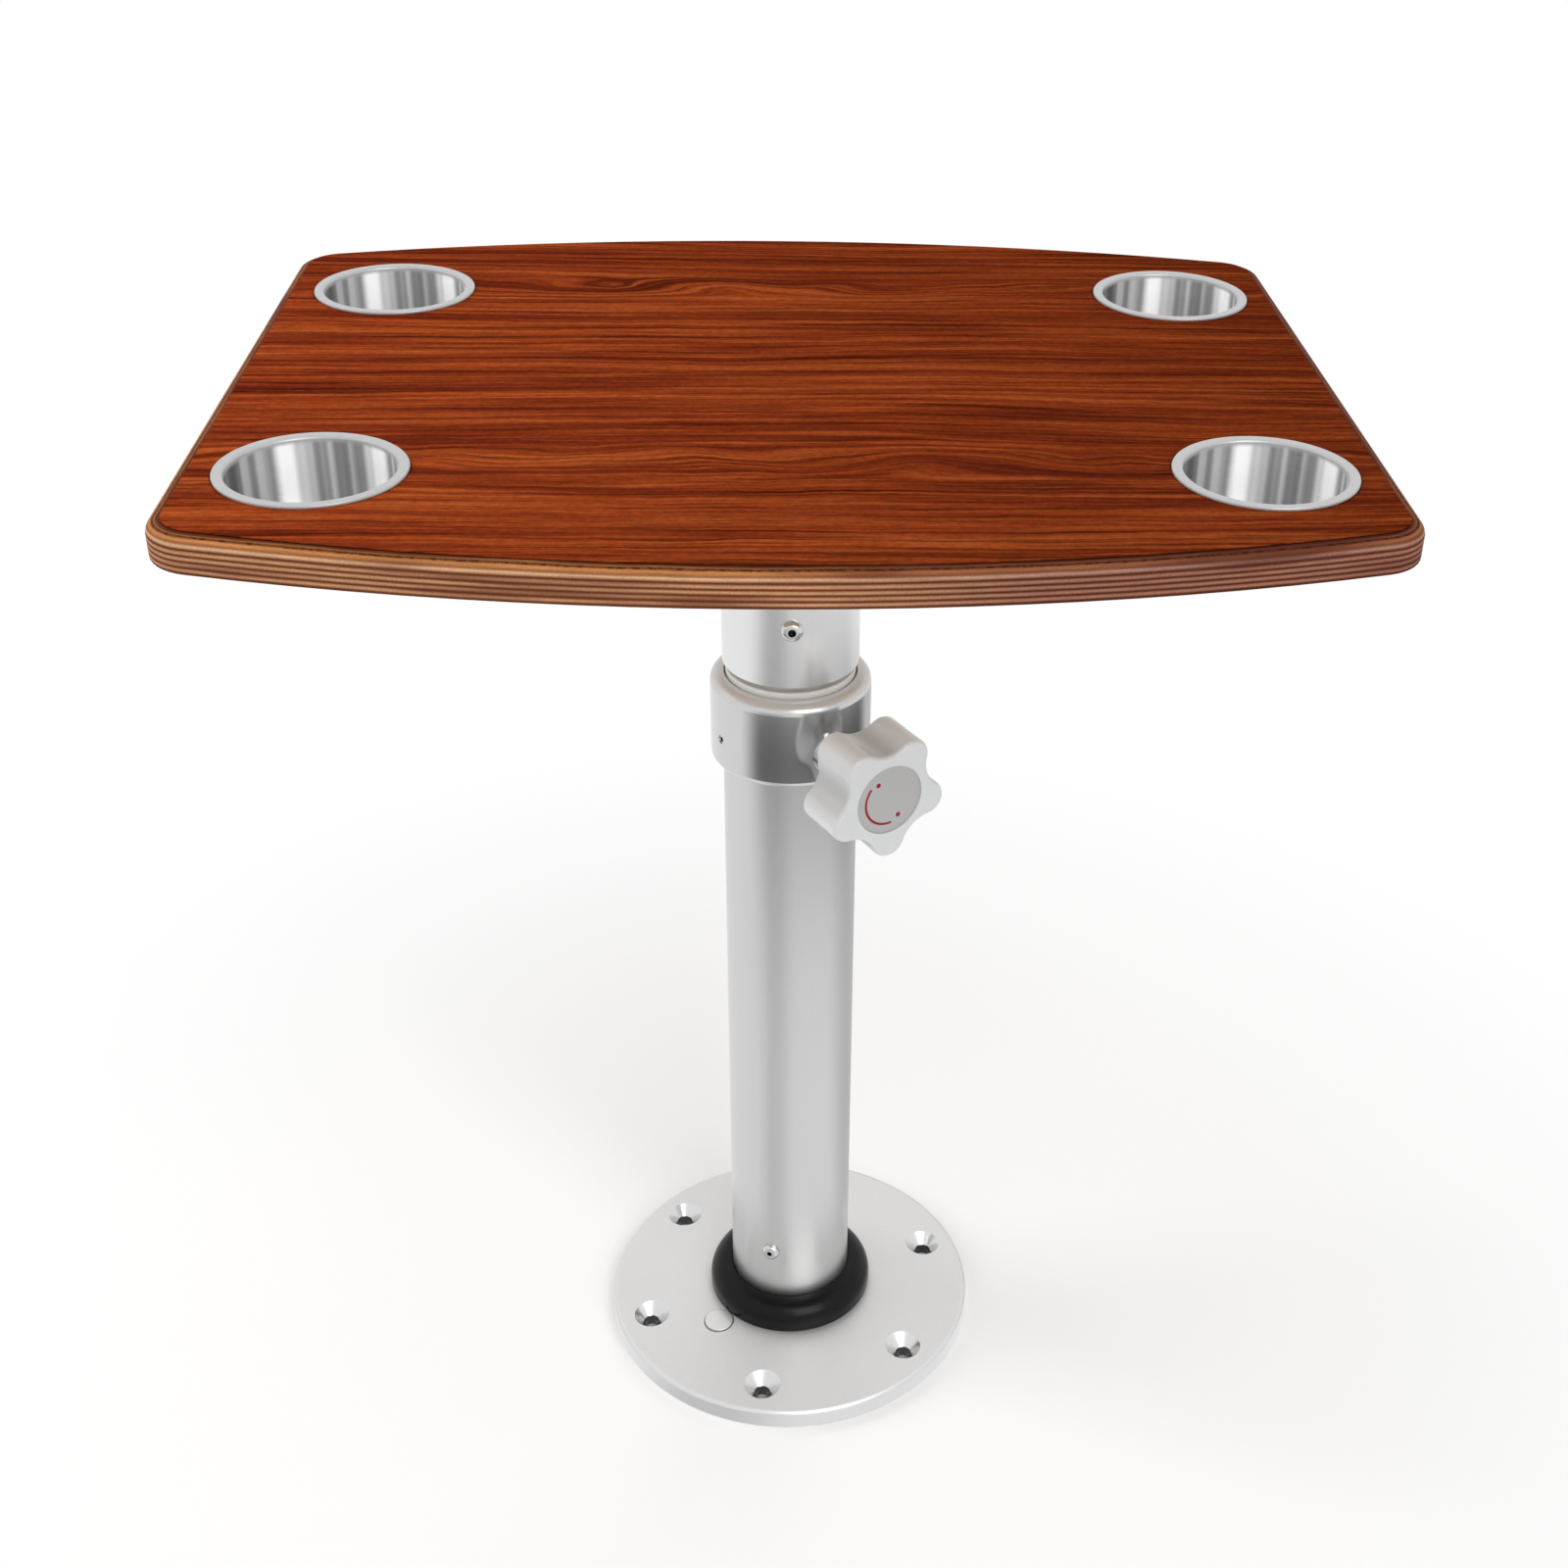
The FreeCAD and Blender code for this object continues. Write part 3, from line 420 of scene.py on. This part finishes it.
def brushed_cup(name, low, high):
    """Deep-drawn cup. Its wall carries a painted reflection of two windows between streaks of
    noise, darker to the far left, which run down it and fan out over its floor, and inside it
    glows faintly as painted light. Fine brush lines run round it, and it is turned outwards."""
    # The emission inside the cup is painted light: a faint glow of its own colour.
    finish = Finish(name, Metallic=0.3, Emission_Strength=0.2)
    middle = (low + high) / 2
    px, py, z = finish.axes(finish.place(move=(-middle.x, -middle.y, 0)))
    reach = span(px, py)
    around, across = px / reach, py / reach
    scratches = finish.noise(
        finish.vector(around * 2, across * 2, z * 1800 + reach * 1800), 1.0, 3.0, 0.6)
    streaks = finish.noise(finish.vector(around * 26, across * 26, z * 9), 1.0, 2.0, 0.6)
    turn = math.copysign(CUP_TURN, middle.x)
    aside = around * math.cos(turn) - across * math.sin(turn)
    bearing = aside.maths("ARCSINE") * (180 / math.pi) + (scratches - 0.5) * 0.9
    streaked = finish.noise(finish.vector(bearing * 0.1, 0.3, 5.9), 1.0, 1.0, 0.5)
    # Painted reflection: streaks and two bright windows as the wall would mirror them, set in the
    # base colour.
    tone = streaked.between(0.30, 0.70, 0.49, 0.82)
    for place, bright, whole in CUP_PAINTED_WINDOWS:
        painted_window = (bearing - place).maths("ABSOLUTE").between(bright, whole, 1.0, 0.0)
        tone = tone + painted_window * (1 - tone)
    # Painted shade: the painted reflection dims to half towards the far left of the wall.
    tone = tone * bearing.between(-68, -44, 0.5, 1.0)
    bands = finish.shade((1, 1, 1, 1), tone ** 2.2)
    past = (reach - (CUP_INNER - CUP_CORNER)).maths("MAXIMUM", 0.0)
    below = (low.z + CUP_WALL + CUP_CORNER - z).maths("MAXIMUM", 0.0)
    skin = span(past, below) - CUP_CORNER
    inside = skin.between(0.3 * MM, 0.5 * MM, 1.0, 0.0)
    well = z.between(TOP - 2.6 * MM, TOP + 0.2 * MM, 1.0, 0.0) * inside
    colour = finish.mix(well, grey(186), bands)
    colour = finish.shade(colour, scratches * 0.10 + streaks * 0.12 + 0.89)
    # Painted glow: inside the cup the colour is also emitted, at the strength set above.
    finish.feed(**{"Base Color": colour, "Emission Color": finish.shade(colour, well)})
    finish.feed(Roughness=scratches * 0.16 + 0.24)
    finish.bump(scratches, 0.004 * MM, 0.5)
    return finish


def collar_metal():
    """Polished metal, duller on the dome round its mouth."""
    finish = metal("polished_collar", 206, 0.18, (12, 12, 900))
    z = finish.axes(finish.place())[2]
    dome = z.between(CLAMP_HEIGHT + 26 * MM, CLAMP_HEIGHT + 31 * MM)
    finish.feed(Roughness=dome * 0.14 + 0.17, Metallic=dome * -0.6 + 1.0)
    return finish


def moulding(name, level, roughness, relief=0.02, tint=(1, 1, 1), gloss=0.4):
    """Moulded plastic with a fine, even skin."""
    finish = Finish(name, **{"Specular IOR Level": gloss})
    skin = finish.noise(finish.place((2600, 2600, 2600)), 1.0, 1.0)
    clouds = finish.noise(finish.place((30, 30, 30)), 1.0, 2.0)
    colour = tuple(part * share for part, share in zip(grey(level), tint))
    finish.feed(**{"Base Color": finish.shade(colour, clouds * 0.08 + 0.96)})
    finish.feed(Roughness=skin * 0.12 + clouds * 0.06 + (roughness - 0.09))
    finish.bump(skin, relief * MM, 0.35)
    return finish


def lobed_moulding():
    """Satin moulding of the knob, with painted shade in the hollows between its five lobes and a
    painted highlight on their crests, on its sides.
    """
    finish = moulding("grey_knob", 206, 0.3, 0.02, (0.98, 1.0, 1.016), 0.5)
    along, across, up = finish.axes(finish.place(turn=-KNOB_AZIMUTH))
    azimuth = (up - CLAMP_HEIGHT).maths("ARCTAN2", across)
    painted_lobe_light = (azimuth * LOBES + LOBE_FIRST).maths("COSINE")
    side = along.between(*KNOB_FACE, 1.0, 0.0)
    colour = finish.base_colour()
    # Painted shade in the hollows and painted highlight on the crests, on the sides only.
    amount = side * (painted_lobe_light * 0.18 - 0.08) + 1
    finish.feed(**{"Base Color": finish.shade(colour, amount)})
    return finish


def printed_disc():
    """Cover disc with a printed arc round its edge and a small mark at each end of it."""
    finish = Finish("grey_disc", **{"Specular IOR Level": 0.2})
    turned = finish.place(turn=-KNOB_AZIMUTH)
    across, up = finish.axes(turned)[1:]
    up = up - CLAMP_HEIGHT
    reach = span(across, up)
    azimuth = up.maths("ARCTAN2", across)
    ring = reach.between(*ARC_INNER) * (1 - reach.between(*ARC_OUTER))
    swept = (azimuth > ARC_START).maths("MAXIMUM", azimuth < ARC_END)
    printed = ring * swept
    for turn in MARK_AZIMUTHS:
        beside = across - MARK_REACH * math.cos(turn)
        above = up - MARK_REACH * math.sin(turn)
        spot = span(beside, above)
        printed = printed.maths("MAXIMUM", spot.between(*MARK_EDGE, 1.0, 0.0))
    skin = finish.noise(finish.place((1500, 1500, 1500)), 1.0, 1.0)
    face = finish.shade(grey(170), skin * 0.06 + 0.97)
    finish.feed(**{"Base Color": finish.mix(printed, face, srgb(140, 12, 34))})
    finish.feed(Roughness=skin * 0.12 + 0.36)
    finish.bump(skin, 0.01 * MM, 0.3)
    return finish


dress(red_laminate(), "top_laminate")
dress(plywood(), "table_board")
dress(metal("satin_tube", 208, 0.33), "outer_tube", "inner_column")
dress(metal("satin_sleeve", 230, 0.30), "table_sleeve")
dress(metal("plate_aluminium", 198, 0.4, (300, 300, 300), 0.004), "top_plate")
dress(cast_flange(), "base_flange")
dress(collar_metal(), "collar")
bright = metal("bright_steel", 215, 0.16, (1200, 1200, 1200))
dress(bright, "clamp_hub", "knob_stud", "button_retainer", "release_spring")
dress(metal("button_steel", 222, 0.34, (900, 900, 900), 0.002, 0.06, 0.7), "release_button")
dress(screw_metal("foot_screw_steel", FOOT_SCREWS, 1.5 * MM, -110, 2), "foot_screws")
dress(screw_metal("grub_steel", GRUB_SCREWS, 1.3 * MM, -150, 2), "collar_grub_screws")
dress(screw_metal("sleeve_screw_steel", SLEEVE_SCREWS, 2.1 * MM, -90, 3), "sleeve_screws")
dress(screw_metal("plate_screw_steel", PLATE_SCREWS, 1.5 * MM, 0, 6), "plate_screws")
dress(moulding("black_moulding", 14, 0.24, 0.004, gloss=0.16), "base_ring", "stop_bumper")
nylon = moulding("cream_nylon", 222, 0.5, 0.02, (1, 1, 0.96))
dress(nylon, "upper_bush", "lower_glide", "clamp_pad", "column_plug", "stop_ring")
dress(lobed_moulding(), "clamp_knob")
dress(printed_disc(), "knob_disc")
for place in ("front_left", "front_right", "back_left", "back_right"):
    name = "cup_holder_" + place
    dress(brushed_cup("cup_steel_" + place, *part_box(name)), name)


# Spring under the button

def pressed_spring():
    """Copy of the spring under the button, attached to the pedestal. Its squeeze by the button's
    travel is worked out but not applied.
    """
    low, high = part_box("release_spring")
    spring = bpy.data.objects.new("pressed_spring", nodes["release_spring"].data.copy())
    bpy.context.scene.collection.objects.link(spring)
    joints = frame["record"]["behaviour"]["joints"]
    travel = max(next(one for one in joints if one["name"] == "button_press")["range_m"])
    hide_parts("release_spring")
    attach(spring, "pedestal")
    1 - travel / (high.z - low.z)
    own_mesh(spring)


pressed_spring()


# Camera: the photograph's frame

def photo_camera():
    """Camera that sees the table as the photograph does: place, yaw, pitch and roll."""
    data = bpy.data.cameras.new("photo_camera")
    data.sensor_width = 36.0
    data.lens = 47.69
    data.shift_x = -0.07225
    data.shift_y = 0.02575
    data.clip_start = 0.05
    data.clip_end = 50.0
    camera = bpy.data.objects.new("photo_camera", data)
    bpy.context.scene.collection.objects.link(camera)
    yaw = Matrix.Rotation(math.radians(-4.418), 4, "Z")
    tilt = Matrix.Rotation(math.radians(90 - 31.942), 4, "X")
    roll = Matrix.Rotation(math.radians(1.887), 4, "Z")
    camera.matrix_world = Matrix.Translation((-0.0171, -1.0296, 1.0177)) @ yaw @ tilt @ roll
    bpy.context.scene.camera = camera


# Studio: floor, soft light and a pale surround

def studio_shade(finish, x, y):
    """How dark the floor shows in reflections: painted dark patches that only glossy rays see, a
    strong one in front and to the right, and fainter ones nearer and further out."""
    reach = span(x, y)
    turn = x.maths("ARCTAN2", y * -1) * (180 / math.pi)
    dark_patch = reach.between(0.64, 0.70) * (1 - reach.between(0.90, 0.98))
    dark_patch = dark_patch * turn.between(-78, -42) * (1 - turn.between(108, 146))
    far = reach.between(0.95, 1.05)
    left = (turn + 28).maths("ABSOLUTE").between(4, 34, 1.0, 0.0) * (far * 0.20 + 0.27)
    right = turn.between(70, 110) * (0.34 - far * 0.34)
    return (dark_patch * 0.94).maths("MAXIMUM", left.maths("MAXIMUM", right))


def pale_floor():
    """Round floor. The camera sees it lit near the table and white further out; reflections see it
    white but for the painted dark patches of studio_shade.
    """
    rings = np.array([0.0, 0.6, 1.5, 4.0, 12.0])
    sides = 96
    turns = np.linspace(0, 2 * np.pi, sides, endpoint=False)
    radius, turn = np.meshgrid(rings[1:], turns, indexing="ij")
    points = np.stack([radius * np.cos(turn), radius * np.sin(turn), radius * 0], -1)
    points = np.vstack([[[0.0, 0.0, 0.0]], points.reshape(-1, 3)])
    ring = np.arange(sides)
    after = (ring + 1) % sides
    faces = [(0, 1 + a, 1 + b) for a, b in zip(ring, after)]
    for row in range(len(rings) - 2):
        inner, outer = 1 + row * sides, 1 + (row + 1) * sides
        faces += [(inner + a, outer + a, outer + b, inner + b) for a, b in zip(ring, after)]
    mesh = bpy.data.meshes.new("floor")
    mesh.from_pydata(points.tolist(), [], faces)
    floor = bpy.data.objects.new("floor", mesh)
    bpy.context.scene.collection.objects.link(floor)
    finish = Finish("pale_floor", Roughness=0.9, **{"Specular IOR Level": 0.1})
    finish.feed(**{"Base Color": grey(246)})
    x, y, _ = finish.axes(finish.place())
    far = span(x, y).between(0.25, 0.8)
    light_path = finish.tree.nodes.new("ShaderNodeLightPath")
    camera = Wire(finish, light_path.outputs["Is Camera Ray"])
    glossy = Wire(finish, light_path.outputs["Is Glossy Ray"])
    clear = Wire(finish, light_path.outputs["Is Transmission Ray"])
    level = 1 - glossy * studio_shade(finish, x, y)
    white = finish.node("ShaderNodeEmission", {}, {"Color": (1, 1, 1, 1), "Strength": level})
    seen = (camera * far).maths("MAXIMUM", glossy).maths("MAXIMUM", clear)
    mixed = finish.node("ShaderNodeMixShader", {}, {
        0: seen, 1: Wire(finish, finish.shader.outputs[0]), 2: white})
    output = finish.tree.nodes["Material Output"]
    finish.tree.links.new(mixed.socket, output.inputs["Surface"])
    mesh.materials.append(finish.material)


def surround():
    """World that lights softly and evenly, and that camera, metal and glass see as white."""
    world = bpy.data.worlds.new("surround")
    world.use_nodes = True
    tree = world.node_tree
    background = tree.nodes["Background"]
    path = tree.nodes.new("ShaderNodeLightPath")
    seen = tree.nodes.new("ShaderNodeMath")
    seen.operation = "MAXIMUM"
    tree.links.new(path.outputs["Is Camera Ray"], seen.inputs[0])
    either = tree.nodes.new("ShaderNodeMath")
    either.operation = "MAXIMUM"
    tree.links.new(path.outputs["Is Glossy Ray"], either.inputs[0])
    tree.links.new(path.outputs["Is Transmission Ray"], either.inputs[1])
    tree.links.new(either.outputs[0], seen.inputs[1])
    level = tree.nodes.new("ShaderNodeMapRange")
    level.inputs["To Min"].default_value = 0.62
    level.inputs["To Max"].default_value = 1.0
    tree.links.new(seen.outputs[0], level.inputs["Value"])
    background.inputs["Color"].default_value = (1, 1, 1, 1)
    tree.links.new(level.outputs[0], background.inputs["Strength"])
    bpy.context.scene.world = world


def softbox(name, azimuth, height, distance, size, power, mirrored=True):
    """Area lamp on a circle round the table, aimed at the column. Azimuth 0 is in front."""
    data = bpy.data.lights.new(name, "AREA")
    data.shape = "RECTANGLE"
    data.size, data.size_y = size
    data.energy = power
    lamp = bpy.data.objects.new(name, data)
    turn = math.radians(azimuth)
    place = Vector((distance * math.sin(turn), -distance * math.cos(turn), height))
    aim = Vector((0, 0, 0.45)) - place
    towards = aim.to_track_quat("-Z", "Y").to_matrix().to_4x4()
    lamp.matrix_world = Matrix.Translation(place) @ towards
    lamp.visible_glossy = mirrored
    bpy.context.scene.collection.objects.link(lamp)


photo_camera()
pale_floor()
surround()
softbox("softbox_front", 24, 1.9, 2.2, (1.6, 2.0), 32)
softbox("softbox_left", -100, 1.4, 2.2, (1.4, 2.2), 26, False)
softbox("softbox_back", 165, 2.2, 2.0, (1.6, 1.0), 9, False)

bpy.context.scene.view_settings.view_transform = "Standard"
